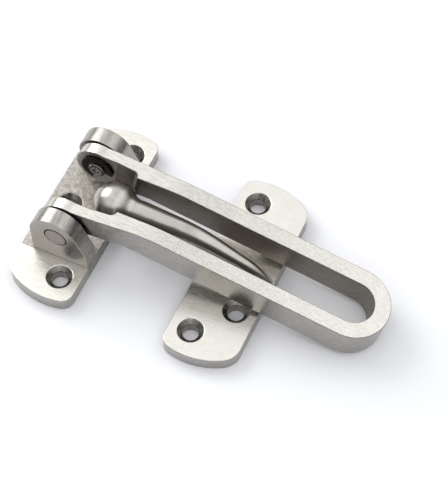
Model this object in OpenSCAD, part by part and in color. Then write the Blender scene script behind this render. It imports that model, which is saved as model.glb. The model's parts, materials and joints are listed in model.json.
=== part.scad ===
// Door guard with a swinging slotted bar.
// The hinge half carries the bar between two ears. The catch half carries a
// ball on a curved arm, which the slot of the bar traps.
// X runs from the hinge to the tip of the bar, Z points away from the door.
// The origin is the middle of the hinge plate's back face.

/* [Mounting plates] */
// Length of each plate, across the bar
plate_len = 72; // [68:1:76]
// Width of each plate, along the bar
plate_w = 25; // [24:0.5:26]
// Thickness of each plate
plate_t = 5.2; // [4.6:0.2:5.8]
// Middle of the catch plate, measured from the middle of the hinge plate
catch_x = 58.4; // [56:0.2:60]
// Offset of every screw hole from a plate's centre line, along the bar
hole_shift = 5.2; // [4.6:0.2:5.8]
// Distance from the plate's middle to its outer screw holes
outer_hole_y = 26.9; // [26.5:0.1:27.5]
// Distance from the catch plate's middle to its inner screw holes
inner_hole_y = 14.2; // [13.8:0.1:14.6]
// Radius of the screw holes
hole_r = 2.8; // [2.4:0.1:3]
// Radius of the countersinks at the face
sink_r = 4.5; // [4.2:0.1:4.8]

/* [Hinge] */
// Outer face of each ear, measured from the middle plane
ear_out = 20.6; // [20.4:0.1:21]
// Radius of the round top of the ears
ear_r = 8.7; // [8.6:0.05:8.9]
// Height of the pivot above the back of the plates
pin_z = 17.85; // [17.6:0.05:18.1]
// Pivot's offset from the middle of the hinge plate, along the bar
pin_x = 1.6; // [1.2:0.1:1.8]
// Radius of the pivot pins
pin_r = 3; // [2.8:0.1:3.2]
// Radius of the pivot pins' heads
pin_head_r = 3.95; // [3.8:0.05:4.1]
// Radial running clearance of the bar on its pins
run_gap = 0.05; // [0.02:0.01:0.09]

/* [Swing bar] */
// Length from the pivot to the tip, along the sloping bar
bar_reach = 108.7; // [104:0.1:112]
// Width of the bar
bar_w = 25.4; // [25:0.1:26]
// Width of the slot, a little less than the ball
slot_w = 14.4; // [14:0.1:14.4]
// Thickness of the bar
bar_t = 11.8; // [11.4:0.1:12]
// Slope of the bar against its arms, in degrees
bar_tilt = 9.8; // [9:0.1:9.9]

/* [Ball] */
// Radius of the ball
ball_r = 7.4; // [7.25:0.05:7.5]
// Radius of the ball's arm where it leaves the ball
arm_r = 4.2; // [4:0.1:4.6]
// Width of the ball's arm at its foot
foot_w = 3; // [2.6:0.2:3.4]

/* [Hidden] */
$fn = 72;
eps = 0.01;

// Plate outline: a shallow arc at each end, and a tight and a wide corner
half_w = plate_w / 2;
half_len = plate_len / 2;
end_arc_r = 25;
end_arc_x = 3.5;
tight_r = 4;
wide_r = 7;

// Positions across the hinge, from the middle plane outwards
pin_end_y = 8.3;
clip_t = 0.7;
clip_y = 9.1;
clip_play = 0.05;
clip_room = 0.8;
knuckle_in = 9.9;
knuckle_out = 14;
washer_t = 0.5;
ear_in = knuckle_out + 0.6;

// Ears
ear_shift = [-0.9, -0.7];
ear_front_angle = 23;

// Pins and retaining clips
pin_head_t = 2;
head_gap = 0.2;
groove_r = 2.2;
clip_r = 5.8;
clip_in_r = 2.3;
clip_mouth = 96;
clip_turn = -62;
pin_chamfer = 0.5;
dimple_r = 0.9;
washer_r = 6.6;

// Bar: heights are measured from the pivot
knuckle_r = 8;
arm_top = 7.55;
arm_under = 2.6;
bend_r = 60;
slab_top = 12.7;
slab_under = slab_top - bar_t;
tip_x = bar_reach - bar_w / 2;
flare_start = 0.7;
flare_len = 27;
recess_half = 9.3;
recess_x = 12.75;

// Arm of the ball: level, a gentle bend, then a steeper one down into the plate
ball_x = 13.1;
ball_z = 17.1;
arm_run = 23;
arm_bend = 21;
arm_bend_len = 14;
foot_run = 48;
foot_bend = 31;
foot_bend_len = 10;
foot_h = 4.4;
taper_start = 11;
arm_step = 1.5;
arm_len = 62;
spigot_r = 2.5;
spigot_in = 5;
seat_x = 5.9;

// Points of an arc about c, from angle a to angle b, in n steps
function arc(c, r, a, b, n) =
    [for (i = [0:n]) c + r * [cos(a + (b - a) * i / n), sin(a + (b - a) * i / n)]];

// The same points in the opposite order
function flip(points) = [for (i = [len(points) - 1:-1:0]) points[i]];

// An outline that is the same on both sides of the X axis, from its +Y half
function both_sides(half) = concat(half, flip([for (p = half) [p[0], -p[1]]]));

// Point of the sloping bar: s along it and d above the pivot's line
function slab_point(s, d) =
    [s * cos(bar_tilt) + d * sin(bar_tilt), d * cos(bar_tilt) - s * sin(bar_tilt)];

// Half width of the bar's outside at x, where it flares out to the knuckles
function flare(x) = let (t = min(1, max(0, (x - flare_start) / flare_len)))
    bar_w / 2 + (knuckle_out - bar_w / 2) * (1 + cos(180 * t)) / 2;

// ---------- plates ----------

// One rounded end of a plate, from the tight corner to the wide one
function plate_end() = let (
        c = [end_arc_x, half_len - end_arc_r],
        tx = half_w - tight_r,
        ty = c[1] + sqrt(pow(end_arc_r - tight_r, 2) - pow(tx - c[0], 2)),
        wx = wide_r - half_w,
        wy = c[1] + sqrt(pow(end_arc_r - wide_r, 2) - pow(wx - c[0], 2)),
        ta = atan2(ty - c[1], tx - c[0]),
        wa = atan2(wy - c[1], wx - c[0]))
    concat(arc([tx, ty], tight_r, 0, ta, 10), arc(c, end_arc_r, ta, wa, 12),
        arc([wx, wy], wide_r, wa, 180, 10));

module plate_blank() {
    linear_extrude(plate_t)
        polygon(both_sides(plate_end()));
}

// Countersunk screw hole, cut from the face of a plate
module screw_hole(x, y) {
    translate([x, y, -eps])
        cylinder(r = hole_r, h = plate_t + 2 * eps);
    translate([x, y, plate_t - (sink_r - hole_r)])
        cylinder(r1 = hole_r, r2 = sink_r + eps, h = sink_r - hole_r + eps);
}

// ---------- hinge half ----------

// Ear's side view: round top, upright back, sloping front down to the plate's edge
module ear_profile() {
    c = [pin_x, pin_z] + ear_shift;
    front = c + ear_r * [cos(ear_front_angle), sin(ear_front_angle)];
    back = c - [ear_r, 0];
    front_drop = (half_w - front[0]) / tan(ear_front_angle);
    translate(c)
        circle(r = ear_r);
    polygon([
        front,
        back,
        [back[0], plate_t - 1],
        [half_w, plate_t - 1],
        [half_w, front[1] - front_drop]
    ]);
}

// Lays a side view out across the hinge, from y0 to y1
module across(y0, y1) {
    translate([0, y1, 0])
        rotate([90, 0, 0])
            linear_extrude(y1 - y0)
                children();
}

// Turns what points along Z outwards along the pivot, on the far side
module on_pivot() {
    translate([pin_x, 0, pin_z])
        rotate([-90, 0, 0])
            children();
}

module hinge_plate() {
    color("gainsboro")
        difference() {
            union() {
                plate_blank();
                for (side = [0, 1])
                    mirror([0, side, 0])
                        across(ear_in, ear_out)
                            ear_profile();
            }
            for (side = [-1, 1])
                screw_hole(hole_shift, side * outer_hole_y);
            screw_hole(-hole_shift, 0);
            for (side = [0, 1])
                mirror([0, side, 0])
                    on_pivot() {
                        translate([0, 0, ear_in - 1])
                            cylinder(r = pin_r, h = ear_out - ear_in + 2);
                        translate([0, 0, ear_out - pin_head_t])
                            cylinder(r = pin_head_r + head_gap, h = pin_head_t + 1);
                    }
        }
}

// Headed pin with a clip groove, a chamfered end and a centre dimple
module pivot_pin() {
    on_pivot()
        rotate_extrude()
            polygon([
                [0, pin_end_y + dimple_r],
                [dimple_r, pin_end_y],
                [pin_r - pin_chamfer, pin_end_y],
                [pin_r, pin_end_y + pin_chamfer],
                [pin_r, clip_y - clip_play],
                [groove_r, clip_y - clip_play],
                [groove_r, clip_y + clip_t + clip_play],
                [pin_r, clip_y + clip_t + clip_play],
                [pin_r, ear_out - pin_head_t],
                [pin_head_r, ear_out - pin_head_t],
                [pin_head_r, ear_out],
                [0, ear_out]
            ]);
}

// Open ring that snaps into the pin's groove, with three relief notches
module retaining_clip() {
    reach = 2 * clip_r;
    half = clip_mouth / 2;
    on_pivot()
        rotate([0, 0, -clip_turn])
            translate([0, 0, clip_y])
                linear_extrude(clip_t)
                    difference() {
                        circle(r = clip_r);
                        circle(r = clip_in_r);
                        polygon([
                            [0, 0],
                            reach * [cos(half), -sin(half)],
                            [reach, 0],
                            reach * [cos(half), sin(half)]
                        ]);
                        for (a = [115, 180, 245])
                            translate(clip_in_r * [cos(a), sin(a)])
                                circle(r = 0.8, $fn = 24);
                    }
}

module friction_washer() {
    on_pivot()
        translate([0, 0, (knuckle_out + ear_in - washer_t) / 2])
            linear_extrude(washer_t)
                difference() {
                    circle(r = washer_r);
                    circle(r = pin_r + run_gap);
                }
}

module near_pivot_pin() {
    color("silver")
        mirror([0, 1, 0])
            pivot_pin();
}

module far_pivot_pin() {
    color("silver")
        pivot_pin();
}

module near_retaining_clip() {
    color("black")
        mirror([0, 1, 0])
            retaining_clip();
}

module far_retaining_clip() {
    color("black")
        retaining_clip();
}

module near_friction_washer() {
    color("dimgray")
        mirror([0, 1, 0])
            friction_washer();
}

module far_friction_washer() {
    color("dimgray")
        friction_washer();
}

// ---------- swing bar ----------

// Bar's side view about the pivot: knuckle, level arms, bend, sloping slab
module bar_side() {
    bend_s = (slab_top * cos(bar_tilt) - arm_top) / sin(bar_tilt);
    bend_x = slab_point(bend_s, slab_top)[0] - bend_r * tan(bar_tilt / 2);
    under_s = (slab_under * cos(bar_tilt) + arm_under) / sin(bar_tilt);
    polygon(concat(
        arc([0, 0], knuckle_r, -asin(arm_under / knuckle_r), asin(arm_top / knuckle_r) - 360, 44),
        arc([bend_x, arm_top - bend_r], bend_r, 90, 90 - bar_tilt, 8),
        [
            slab_point(bar_reach + 5, slab_top),
            slab_point(bar_reach + 5, slab_under),
            slab_point(under_s, slab_under)
        ]));
}

// Bar's outside seen along its thickness, with the flare towards the knuckles
module bar_outline() {
    steps = 14;
    edge = [for (i = [0:steps])
        let (x = flare_start + flare_len * i / steps) [x, flare(x)]];
    tip = arc([tip_x, 0], bar_w / 2, 90, 0, 24);
    polygon(both_sides(concat([[-2 * knuckle_r, knuckle_out]], edge, tip)));
}

// Slot: wide between the knuckles, then one quarter round in to the narrow part
module slot_outline() {
    mouth = [[-3 * knuckle_r, knuckle_in], [clip_r + clip_room, knuckle_in]];
    step_in = arc([recess_x, slot_w / 2], recess_half - slot_w / 2, 90, 0, 10);
    tip = arc([tip_x, 0], slot_w / 2, 90, 0, 24);
    polygon(both_sides(concat(mouth, step_in, tip)));
}

module swing_bar() {
    tall = 8 * knuckle_r;
    color("gainsboro")
        difference() {
            translate([pin_x, 0, pin_z])
                difference() {
                    intersection() {
                        across(-knuckle_out, knuckle_out)
                            bar_side();
                        rotate([0, bar_tilt, 0])
                            linear_extrude(tall, center = true)
                                bar_outline();
                    }
                    rotate([0, bar_tilt, 0])
                        linear_extrude(tall, center = true)
                            slot_outline();
                }
            for (side = [0, 1])
                mirror([0, side, 0])
                    on_pivot()
                        translate([0, 0, knuckle_in - 1])
                            cylinder(r = pin_r + run_gap, h = knuckle_out - knuckle_in + 2);
        }
}

// ---------- catch half ----------

module catch_plate() {
    color("gainsboro")
        translate([catch_x, 0, 0])
            difference() {
                rotate([0, 0, 180])
                    plate_blank();
                for (side = [-1, 1]) {
                    screw_hole(-hole_shift, side * outer_hole_y);
                    screw_hole(hole_shift, side * inner_hole_y);
                }
            }
}

// How far s is through a stretch that starts at run and is len long, from 0 to 1
function through(s, run, len) = min(1, max(0, (s - run) / len));

// Angle of the arm's middle line below level, at distance s from the ball's middle
function arm_fall(s) =
    arm_bend * through(s, arm_run, arm_bend_len) + foot_bend * through(s, foot_run, foot_bend_len);

// Half of a measure that goes from the arm's diameter to its value at the foot
function taper(s, foot) =
    arm_r + (foot / 2 - arm_r) * through(s, taper_start, arm_len - taper_start);

// Stations along the arm, with half width and half height: the spigot, then the arm
arm_stations = concat(
    [[seat_x - spigot_in, spigot_r, spigot_r], [seat_x, spigot_r, spigot_r]],
    [for (s = [seat_x:arm_step:arm_len]) [s, taper(s, foot_w), taper(s, foot_h)]]);

// Points of the middle line, each one a step further along than the last
function arm_line(i = 0, at = [0, 0], s = 0) =
    i == len(arm_stations) ? [] :
    let (step = arm_stations[i][0] - s,
        fall = arm_fall(s + step / 2),
        p = at + step * [cos(fall), -sin(fall)])
    concat([p], arm_line(i + 1, p, s + step));

// Curved arm: round at the ball and a narrow oval at the foot, which stands on the plate
module ball_arm() {
    sides = 32;
    line = arm_line();
    rings = len(arm_stations);
    points = [for (i = [0:rings - 1]) for (k = [0:sides - 1])
        let (fall = arm_fall(arm_stations[i][0]),
            out = arm_stations[i][1] * sin(360 * k / sides),
            up = arm_stations[i][2] * cos(360 * k / sides))
        [line[i][0] + up * sin(fall), out, line[i][1] + up * cos(fall)]];
    sleeve = [for (i = [0:rings - 2]) for (k = [0:sides - 1])
        let (a = i * sides + k, b = i * sides + (k + 1) % sides)
        [a, b, b + sides, a + sides]];
    start = [for (k = [sides - 1:-1:0]) k];
    end = [for (k = [0:sides - 1]) (rings - 1) * sides + k];
    color("lightgray")
        intersection() {
            translate([ball_x, 0, ball_z])
                polyhedron(points, concat(sleeve, [start, end]));
            translate([0, -plate_len, plate_t])
                cube([2 * plate_len, 2 * plate_len, plate_len]);
        }
}

// Ball with a flat seat and a blind hole for the arm's spigot
module ball() {
    color("lightgray")
        translate([ball_x, 0, ball_z])
            difference() {
                sphere(r = ball_r);
                translate([seat_x - spigot_in, 0, 0])
                    rotate([0, 90, 0])
                        cylinder(r = spigot_r, h = 2 * ball_r);
                translate([seat_x, -ball_r, -ball_r])
                    cube(2 * ball_r);
            }
}

hinge_plate();
swing_bar();
near_pivot_pin();
far_pivot_pin();
near_retaining_clip();
far_retaining_clip();
near_friction_washer();
far_friction_washer();
catch_plate();
ball_arm();
ball();
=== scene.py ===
"""Looks of the swing-bar door guard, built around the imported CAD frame. All lengths are in metres."""

import json
import math

import bmesh
import bpy
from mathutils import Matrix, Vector


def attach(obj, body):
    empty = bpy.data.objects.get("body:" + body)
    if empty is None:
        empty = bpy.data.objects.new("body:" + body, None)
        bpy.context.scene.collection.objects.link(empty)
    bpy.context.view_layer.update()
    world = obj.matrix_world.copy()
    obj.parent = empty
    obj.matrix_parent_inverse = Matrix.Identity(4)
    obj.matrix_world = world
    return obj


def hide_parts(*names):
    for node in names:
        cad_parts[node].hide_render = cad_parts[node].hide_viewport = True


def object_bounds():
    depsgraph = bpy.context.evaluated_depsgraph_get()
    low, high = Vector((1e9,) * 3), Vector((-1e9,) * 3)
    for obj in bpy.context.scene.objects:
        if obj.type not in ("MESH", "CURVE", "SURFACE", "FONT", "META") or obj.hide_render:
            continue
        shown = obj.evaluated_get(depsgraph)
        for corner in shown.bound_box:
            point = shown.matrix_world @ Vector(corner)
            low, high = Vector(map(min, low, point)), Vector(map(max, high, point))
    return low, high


MM = 0.001

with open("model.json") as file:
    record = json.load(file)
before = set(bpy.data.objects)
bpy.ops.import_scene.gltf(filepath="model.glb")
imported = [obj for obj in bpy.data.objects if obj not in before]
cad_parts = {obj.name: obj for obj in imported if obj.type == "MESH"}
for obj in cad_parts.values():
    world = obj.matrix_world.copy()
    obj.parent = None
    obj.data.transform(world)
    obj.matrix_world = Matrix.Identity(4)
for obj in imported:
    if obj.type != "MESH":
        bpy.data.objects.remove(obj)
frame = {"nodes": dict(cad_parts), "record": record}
cad_low, cad_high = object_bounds()
NODES = frame["nodes"]

# ---------- camera ----------

CAMERA_AZIMUTH = math.radians(24.75)
CAMERA_ELEVATION = math.radians(58.74)
CAMERA_DISTANCE = 0.5088
CAMERA_TARGET = Vector((0.0489, 0.0080, 0.0))
LENS_MM = 108.2


def make_camera():
    """The camera looks at the target from the photograph's angle."""
    data = bpy.data.cameras.new("camera")
    data.lens = LENS_MM
    data.sensor_width = 36
    data.sensor_fit = "AUTO"
    data.clip_start = 0.01
    camera = bpy.data.objects.new("camera", data)
    flat = math.cos(CAMERA_ELEVATION)
    back = Vector((
        math.sin(CAMERA_AZIMUTH) * flat,
        -math.cos(CAMERA_AZIMUTH) * flat,
        math.sin(CAMERA_ELEVATION),
    ))
    camera.location = CAMERA_TARGET + back * CAMERA_DISTANCE
    camera.rotation_euler = back.to_track_quat("Z", "Y").to_euler()
    bpy.context.scene.collection.objects.link(camera)
    bpy.context.scene.camera = camera


make_camera()

# ---------- floor and light ----------


def make_floor():
    """A plain white table top that the plates lie on."""
    mesh = bpy.data.meshes.new("floor")
    half = 1.5
    corners = [(-half, -half, 0), (half, -half, 0), (half, half, 0), (-half, half, 0)]
    mesh.from_pydata([Vector(c) - Vector((0, 0, 0.05 * MM)) for c in corners], [], [(0, 1, 2, 3)])
    floor = bpy.data.objects.new("floor", mesh)
    bpy.context.scene.collection.objects.link(floor)
    material = bpy.data.materials.new("floor_white")
    material.use_nodes = True
    shader = material.node_tree.nodes["Principled BSDF"]
    shader.inputs["Base Color"].default_value = (0.85, 0.86, 0.895, 1)
    shader.inputs["Roughness"].default_value = 0.8
    shader.inputs["Specular IOR Level"].default_value = 0.2
    mesh.materials.append(material)


def make_area_light(name, location, target, size, watts, colour):
    """A rectangular soft box that faces the target."""
    data = bpy.data.lights.new(name, "AREA")
    data.shape = "RECTANGLE"
    data.size, data.size_y = size
    data.energy = watts
    data.color = colour
    light = bpy.data.objects.new(name, data)
    light.location = location
    aim = Vector(location) - Vector(target)
    light.rotation_euler = aim.to_track_quat("Z", "Y").to_euler()
    bpy.context.scene.collection.objects.link(light)


def sky_ramp(tree, source, stops):
    """A ramp of greys over one part of the direction, which runs from -1 to 1."""
    shift = tree.nodes.new("ShaderNodeMapRange")
    shift.inputs["From Min"].default_value = -1
    tree.links.new(source, shift.inputs["Value"])
    node = tree.nodes.new("ShaderNodeValToRGB")
    elements = node.color_ramp.elements
    while len(elements) < len(stops):
        elements.new(0.5)
    for element, (direction, grey) in zip(elements, stops):
        element.position = (direction + 1) / 2
        element.color = (grey, grey, grey, 1)
    tree.links.new(shift.outputs["Result"], node.inputs["Fac"])
    return node.outputs["Color"]


def make_world():
    """A studio that is bright overhead, with two broad soft boxes, and grey at table height."""
    world = bpy.data.worlds.new("studio")
    world.use_nodes = True
    tree = world.node_tree
    background = tree.nodes["Background"]
    where = tree.nodes.new("ShaderNodeTexCoord")
    split = tree.nodes.new("ShaderNodeSeparateXYZ")
    tree.links.new(where.outputs["Generated"], split.inputs["Vector"])
    height = sky_ramp(tree, split.outputs["Z"], SKY_UP)
    across = sky_ramp(tree, split.outputs["X"], SKY_ALONG)
    both = tree.nodes.new("ShaderNodeMix")
    both.data_type = "RGBA"
    both.blend_type = "MULTIPLY"
    both.inputs["Factor"].default_value = 1
    tree.links.new(height, both.inputs["A"])
    tree.links.new(across, both.inputs["B"])
    tree.links.new(both.outputs["Result"], background.inputs["Color"])
    background.inputs["Strength"].default_value = SKY_STRENGTH
    bpy.context.scene.world = world


SKY_STRENGTH = 1.48
SKY_UP = [(0.0, 0.06), (0.25, 0.16), (0.5, 0.55), (0.66, 0.95), (1.0, 0.9)]
SKY_ALONG = [(-0.75, 0.7), (-0.3, 0.9), (-0.12, 0.95), (0.05, 0.55), (0.2, 1.25), (0.45, 1.1), (0.7, 0.8)]
KEY_WATTS = 2.6

make_floor()
make_world()
middle = (cad_low + cad_high) / 2
make_area_light("key_light", (-0.52, 0.16, 0.42), middle, (0.45, 0.45), KEY_WATTS, (1, 0.985, 0.96))
bpy.context.scene.view_settings.view_transform = "Standard"

# ---------- materials ----------


def new_material(name):
    """A material with its node tree and its shader."""
    material = bpy.data.materials.new(name)
    material.use_nodes = True
    tree = material.node_tree
    return material, tree, tree.nodes["Principled BSDF"]


def stretched_noise(tree, per_mm, detail, rough=0.6):
    """Noise with its own number of cells a millimetre along each axis."""
    where = tree.nodes.new("ShaderNodeTexCoord")
    mapping = tree.nodes.new("ShaderNodeMapping")
    mapping.inputs["Scale"].default_value = [v / MM for v in per_mm]
    noise = tree.nodes.new("ShaderNodeTexNoise")
    noise.inputs["Scale"].default_value = 1
    noise.inputs["Detail"].default_value = detail
    noise.inputs["Roughness"].default_value = rough
    tree.links.new(where.outputs["Object"], mapping.inputs["Vector"])
    tree.links.new(mapping.outputs["Vector"], noise.inputs["Vector"])
    return noise.outputs["Fac"]


def ramp(tree, source, stops):
    """A colour ramp from (position, colour) stops."""
    node = tree.nodes.new("ShaderNodeValToRGB")
    elements = node.color_ramp.elements
    while len(elements) < len(stops):
        elements.new(0.5)
    for element, (position, colour) in zip(elements, stops):
        element.position = position
        element.color = (*colour, 1)
    tree.links.new(source, node.inputs["Fac"])
    return node.outputs["Color"]


def value_range(tree, source, low, high):
    """Maps 0.3 to 0.7, the middle of a noise, to low to high."""
    node = tree.nodes.new("ShaderNodeMapRange")
    node.inputs["From Min"].default_value = 0.3
    node.inputs["From Max"].default_value = 0.7
    node.inputs["To Min"].default_value = low
    node.inputs["To Max"].default_value = high
    tree.links.new(source, node.inputs["Value"])
    return node.outputs["Result"]


def multiply(tree, a, b):
    """Two colours multiplied."""
    node = tree.nodes.new("ShaderNodeMix")
    node.data_type = "RGBA"
    node.blend_type = "MULTIPLY"
    node.inputs["Factor"].default_value = 1
    tree.links.new(a, node.inputs["A"])
    tree.links.new(b, node.inputs["B"])
    return node.outputs["Result"]


def painted_crevice_shade(tree, reach, tint):
    """Painted shade: white in the open and darkened towards tint in corners and narrow gaps, read from
    ambient occlusion.
    """
    node = tree.nodes.new("ShaderNodeAmbientOcclusion")
    node.inputs["Distance"].default_value = reach
    return ramp(tree, node.outputs["AO"], [(0.25, tint), (0.8, (1, 1, 1))])


def bump(tree, shader, source, strength, depth):
    """Raises the surface by a noise, on top of any bump it already has."""
    node = tree.nodes.new("ShaderNodeBump")
    node.inputs["Strength"].default_value = strength
    node.inputs["Distance"].default_value = depth
    tree.links.new(source, node.inputs["Height"])
    if shader.inputs["Normal"].is_linked:
        tree.links.new(shader.inputs["Normal"].links[0].from_socket, node.inputs["Normal"])
    tree.links.new(node.outputs["Normal"], shader.inputs["Normal"])


def metal(name, dark, light, rough, grain, strength, crease_shade=0.55, cast=0.0):
    """Steel with brushing along one axis: grain is cells a millimetre along X, Y and Z. Corners and
    narrow gaps are painted darker as shade.
    """
    material, tree, shader = new_material(name)
    lines = stretched_noise(tree, grain, 5)
    cloud = stretched_noise(tree, (0.11, 0.11, 0.11), 3)
    shader.inputs["Metallic"].default_value = 1
    brushed = ramp(tree, lines, [(0.32, dark), (0.68, light)])
    worn = ramp(tree, cloud, [(0.3, (0.93, 0.925, 0.92)), (0.7, (1, 1, 1))])
    colour = multiply(tree, brushed, worn)
    # Painted shade: darkens the colour in corners and narrow gaps.
    colour = multiply(tree, colour, painted_crevice_shade(tree, 2.2 * MM, (crease_shade, crease_shade * 0.95, crease_shade * 0.88)))
    tree.links.new(colour, shader.inputs["Base Color"])
    tree.links.new(value_range(tree, lines, rough[0], rough[1]), shader.inputs["Roughness"])
    bump(tree, shader, lines, strength, 0.06 * MM)
    if cast > 0:
        bump(tree, shader, stretched_noise(tree, (1.6, 1.6, 1.6), 4), cast, 0.25 * MM)
    return material


# One satin steel in lit and shaded copies, each face picked by its direction and place: light and shade
# are painted into the base colours. These two are the lit copies for the plate tops and the bar top.
PLATE_TOP_LIT = metal(
    "satin_steel_top_lit", dark=(0.70, 0.685, 0.64), light=(0.80, 0.78, 0.735),
    rough=(0.24, 0.36), grain=(0.25, 3.4, 3.4), strength=0.35,
)
BAR_TOP_LIT = metal(
    "satin_steel_bar_top_lit", dark=(0.55, 0.535, 0.50), light=(0.77, 0.75, 0.705),
    rough=(0.22, 0.34), grain=(0.35, 3.8, 3.8), strength=0.4,
)
# Shaded copy for side and under faces: painted darker for the shade on them.
SIDE_SHADED_STEEL = metal(
    "satin_steel_side_shaded", dark=(0.36, 0.347, 0.327), light=(0.48, 0.466, 0.442),
    rough=(0.22, 0.34), grain=(0.25, 3.4, 3.4), strength=0.4,
)
# Ears: brushed across the other way, with the base colour painted darker as shade.
EAR_SHADED_STEEL = metal(
    "satin_steel_ear_shaded", dark=(0.30, 0.287, 0.268), light=(0.46, 0.445, 0.42),
    rough=(0.22, 0.36), grain=(3.2, 0.3, 3.2), strength=0.4,
)
# Shaded copy for the bar's slot walls: painted dark for the shade inside the slot.
SLOT_SHADED_STEEL = metal(
    "satin_steel_slot_shaded", dark=(0.19, 0.172, 0.148), light=(0.33, 0.303, 0.265),
    rough=(0.3, 0.45), grain=(0.3, 2.6, 2.6), strength=0.6, crease_shade=0.6, cast=0.15,
)
# Plate between and under the ears: a rough cast surface, with the base colour painted darker for the
# shade under the bar and ears.
CAST_SHADED_STEEL = metal(
    "satin_steel_cast_shaded", dark=(0.24, 0.226, 0.203), light=(0.50, 0.478, 0.44),
    rough=(0.3, 0.5), grain=(0.6, 0.6, 0.6), strength=0.5, crease_shade=0.35, cast=0.6,
)
# Shaded copy for the countersinks: painted darker for the shade inside the holes.
SINK_SHADED_STEEL = metal(
    "satin_steel_sink_shaded", dark=(0.24, 0.228, 0.21), light=(0.36, 0.345, 0.32),
    rough=(0.2, 0.32), grain=(1.2, 1.2, 0.4), strength=0.2, crease_shade=0.6,
)
# Dark copy for the bar's rounded edges: painted shade as a thin dark line along them.
EDGE_SHADED_STEEL = metal(
    "satin_steel_edge_shaded", dark=(0.16, 0.153, 0.14), light=(0.30, 0.288, 0.268),
    rough=(0.25, 0.35), grain=(0.3, 3.0, 3.0), strength=0.2,
)
POLISHED = metal(
    "polished_steel_look", dark=(0.44, 0.423, 0.392), light=(0.53, 0.512, 0.478),
    rough=(0.28, 0.36), grain=(0.12, 1.2, 1.2), strength=0.08,
)
PIN = metal(
    "pin_steel_look", dark=(0.27, 0.24, 0.225), light=(0.38, 0.342, 0.325),
    rough=(0.3, 0.45), grain=(2.5, 2.5, 2.5), strength=0.3,
)
# Lighter, lit copy of the pin steel for the shank and end: painted highlight.
PIN_END_LIT = metal(
    "pin_end_lit_look", dark=(0.46, 0.44, 0.41), light=(0.62, 0.60, 0.565),
    rough=(0.2, 0.32), grain=(1.5, 1.5, 1.5), strength=0.2,
)
# Near-black copy for the pins' rounded edges: painted shade as a dark ring round the head and end.
PIN_EDGE_SHADE = metal(
    "pin_edge_shade_look", dark=(0.03, 0.028, 0.026), light=(0.07, 0.066, 0.062),
    rough=(0.35, 0.5), grain=(2.5, 2.5, 2.5), strength=0.2,
)
CLIP = metal(
    "black_spring_look", dark=(0.012, 0.011, 0.01), light=(0.035, 0.033, 0.03),
    rough=(0.25, 0.45), grain=(2, 2, 2), strength=0.3,
)


def moulded(name, dark, light, rough):
    """Matt moulded plastic with a fine grain."""
    material, tree, shader = new_material(name)
    grain = stretched_noise(tree, (3, 3, 3), 3)
    tree.links.new(ramp(tree, grain, [(0.35, dark), (0.65, light)]), shader.inputs["Base Color"])
    tree.links.new(value_range(tree, grain, rough[0], rough[1]), shader.inputs["Roughness"])
    bump(tree, shader, grain, 0.2, 0.03 * MM)
    return material


NYLON = moulded("black_nylon_look", (0.006, 0.006, 0.006), (0.018, 0.018, 0.018), (0.5, 0.7))

# ---------- pieces ----------

FIXED = "fixed"
BAR = "bar"

# Limits in millimetres that tell the faces of a node apart
PLATE_TOP_Z = 5.2
PLATE_LEFT_X = -12.5
SINK_REACH = 4.6
EAR_IN = 14.6
EAR_OUT = 20.6
EAR_FOOT_Z = 6
PIN_HEAD_Y = 17
BAR_TIP_X = 96.5
SLOT_REACH = 10.6
SLOT_START_X = 8
TOLERANCE = 0.01


def screw_holes():
    """Middle of each screw hole in millimetres, from the record's mounts."""
    holes = []
    for mount in frame["record"]["mounts"]:
        x, y = mount["pos_m"][0] / MM, mount["pos_m"][1] / MM
        if mount["kind"] == "bolt_pattern":
            half = mount["dims"]["spacing_y_mm"] / 2
            holes += [(x, y + half), (x, y - half)]
        elif mount["kind"] == "bore":
            holes.append((x, y))
    return holes


HOLES = screw_holes()


def catch_light_and_shade(centre, normal):
    """Which copy of the steel a face of a plate takes: 0 the lit top, 1 the shaded side, 2 the shaded
    countersink; light and shade are painted into these copies.
    """
    by_hole = any(math.hypot(centre.x - x, centre.y - y) < SINK_REACH for x, y in HOLES)
    if by_hole and centre.z < PLATE_TOP_Z + TOLERANCE and normal.z < 0.95:
        return 2
    return 0 if normal.z > 0.5 else 1


def hinge_finish_and_shade(centre, normal):
    """The catch plate's lit and shaded copies, and 3 for the plate between and under the ears, a rough
    cast surface painted darker as shade, 4 for an ear, its own grain painted darker as shade.
    """
    finish_and_light = catch_light_and_shade(centre, normal)
    if finish_and_light == 2:
        return finish_and_light
    if centre.z > EAR_FOOT_Z and abs(centre.y) > EAR_IN + TOLERANCE:
        return 4
    on_plate = centre.z > PLATE_TOP_Z - 0.2 and centre.x > PLATE_LEFT_X + 0.1
    return 3 if on_plate and abs(centre.y) < EAR_OUT + TOLERANCE else finish_and_light


def pin_lit_pick(centre, normal):
    """Which copy of pin steel a face of a pin takes: 0 the head outside, 2 the lighter copy with a
    painted highlight for the rest.
    """
    return 0 if abs(centre.y) > PIN_HEAD_Y else 2


def bar_light_and_shade(centre, normal):
    """Which copy of the steel a face of the bar takes: 0 the lit top, 1 the shaded outside, 2 the shaded
    slot.
    """
    if abs(normal.z) > 0.7:
        return 0 if normal.z > 0 else 1
    beyond = max(0, centre.x - BAR_TIP_X)
    in_slot = math.hypot(beyond, centre.y) < SLOT_REACH and centre.x > SLOT_START_X
    return 2 if in_slot else 1


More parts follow.
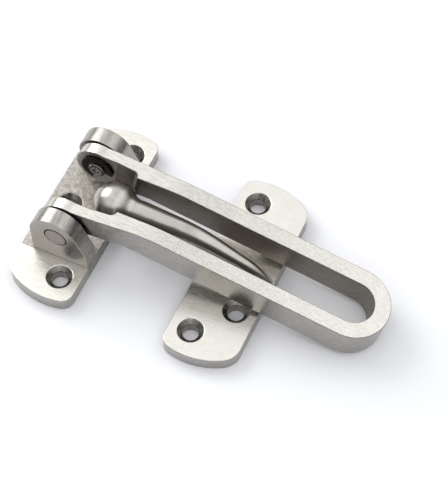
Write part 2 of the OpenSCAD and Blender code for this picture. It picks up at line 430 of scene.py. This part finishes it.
def refined(node, body, materials, edge, finish_and_light=None, edge_shade=-1, cuts=(), angle=32):
    """A copy of a CAD node with its facets joined into faces and its edges rounded."""
    mesh = NODES[node].data.copy()
    mesh.name = node + "_look"
    mesh.materials.clear()
    for material in materials:
        mesh.materials.append(material)
    bm = bmesh.new()
    bm.from_mesh(mesh)
    bmesh.ops.remove_doubles(bm, verts=bm.verts, dist=0.002 * MM)
    bmesh.ops.dissolve_limit(bm, angle_limit=math.radians(0.6), verts=bm.verts, edges=bm.edges)
    for y in cuts:
        every = bm.verts[:] + bm.edges[:] + bm.faces[:]
        bmesh.ops.bisect_plane(
            bm, geom=every, plane_co=(0, y * MM, 0), plane_no=(0, 1, 0), dist=0.001 * MM)
    bmesh.ops.recalc_face_normals(bm, faces=bm.faces)
    for face in bm.faces:
        face.smooth = True
        face.material_index = finish_and_light(face.calc_center_median() / MM, face.normal) if finish_and_light else 0
    for e in bm.edges:
        e.smooth = len(e.link_faces) == 2 and e.calc_face_angle(0) < math.radians(angle)
    bm.to_mesh(mesh)
    bm.free()
    piece = bpy.data.objects.new(node + "_look", mesh)
    bpy.context.scene.collection.objects.link(piece)
    if edge > 0:
        bevel = piece.modifiers.new("rounded_edges", "BEVEL")
        bevel.width = edge
        bevel.segments = 3
        bevel.limit_method = "ANGLE"
        bevel.angle_limit = math.radians(angle)
        bevel.use_clamp_overlap = False
        # When an edge index is given, the rounded edges take that copy, painted dark as shade along the
        # edges.
        bevel.material = edge_shade
    weights = piece.modifiers.new("even_shading", "WEIGHTED_NORMAL")
    weights.mode = "FACE_AREA_WITH_ANGLE"
    weights.weight = 80
    weights.keep_sharp = edge == 0
    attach(piece, body)
    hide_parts(node)


PLATE_STEELS = [PLATE_TOP_LIT, SIDE_SHADED_STEEL, SINK_SHADED_STEEL, CAST_SHADED_STEEL, EAR_SHADED_STEEL]
BAR_STEELS = [BAR_TOP_LIT, SIDE_SHADED_STEEL, SLOT_SHADED_STEEL, EDGE_SHADED_STEEL]
EAR_CUTS = (-EAR_OUT, EAR_OUT)

refined("hinge_plate", FIXED, PLATE_STEELS, 0.22 * MM, hinge_finish_and_shade, cuts=EAR_CUTS)
refined("swing_bar", BAR, BAR_STEELS, 0.2 * MM, bar_light_and_shade, edge_shade=3)
refined("catch_plate", FIXED, PLATE_STEELS, 0.22 * MM, catch_light_and_shade)
refined("ball_arm", FIXED, [POLISHED], 0)
for side in ("near", "far"):
    refined(side + "_pivot_pin", FIXED, [PIN, PIN_EDGE_SHADE, PIN_END_LIT], 0.28 * MM,
            pin_lit_pick, edge_shade=1)
    refined(side + "_retaining_clip", FIXED, [CLIP], 0.12 * MM)
    refined(side + "_friction_washer", FIXED, [NYLON], 0.05 * MM)

BALL_MIDDLE = Vector((13.1, 0, 17.1))
BALL_R = 7.4
NECK_START = 5.0
NECK_END = 10.4
NECK_R = 4.22
BALL_STEPS = 40
NECK_STEPS = 16
BALL_SIDES = 64
POLE_R = 0.001


def neck_radius(t):
    """Radius of the neck: leaves the ball along its surface and ends level with the arm."""
    start = math.sqrt(BALL_R ** 2 - NECK_START ** 2)
    slope = -NECK_START / start * (NECK_END - NECK_START)
    blend = 3 * t ** 2 - 2 * t ** 3
    return (1 - blend) * start + (t ** 3 - 2 * t ** 2 + t) * slope + blend * NECK_R


def make_ball():
    """The ball, with the smooth neck that blends it into its arm."""
    profile = []
    for i in range(BALL_STEPS + 1):
        a = math.pi - (math.pi - math.acos(NECK_START / BALL_R)) * i / BALL_STEPS
        profile.append((BALL_R * math.cos(a), BALL_R * math.sin(a)))
    for i in range(1, NECK_STEPS + 1):
        t = i / NECK_STEPS
        profile.append((NECK_START + (NECK_END - NECK_START) * t, neck_radius(t)))
    verts, faces = [], []
    for along, radius in profile:
        r = max(radius, POLE_R)
        for k in range(BALL_SIDES):
            a = 2 * math.pi * k / BALL_SIDES
            verts.append((BALL_MIDDLE + Vector((along, math.sin(a) * r, math.cos(a) * r))) * MM)
    for i in range(len(profile) - 1):
        for k in range(BALL_SIDES):
            a, b = i * BALL_SIDES + k, i * BALL_SIDES + (k + 1) % BALL_SIDES
            faces.append((a, a + BALL_SIDES, b + BALL_SIDES, b))
    mesh = bpy.data.meshes.new("ball_look")
    mesh.from_pydata(verts, [], faces)
    mesh.update()
    for face in mesh.polygons:
        face.use_smooth = True
    mesh.materials.append(POLISHED)
    ball = bpy.data.objects.new("ball_look", mesh)
    bpy.context.scene.collection.objects.link(ball)
    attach(ball, FIXED)
    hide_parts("ball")


make_ball()
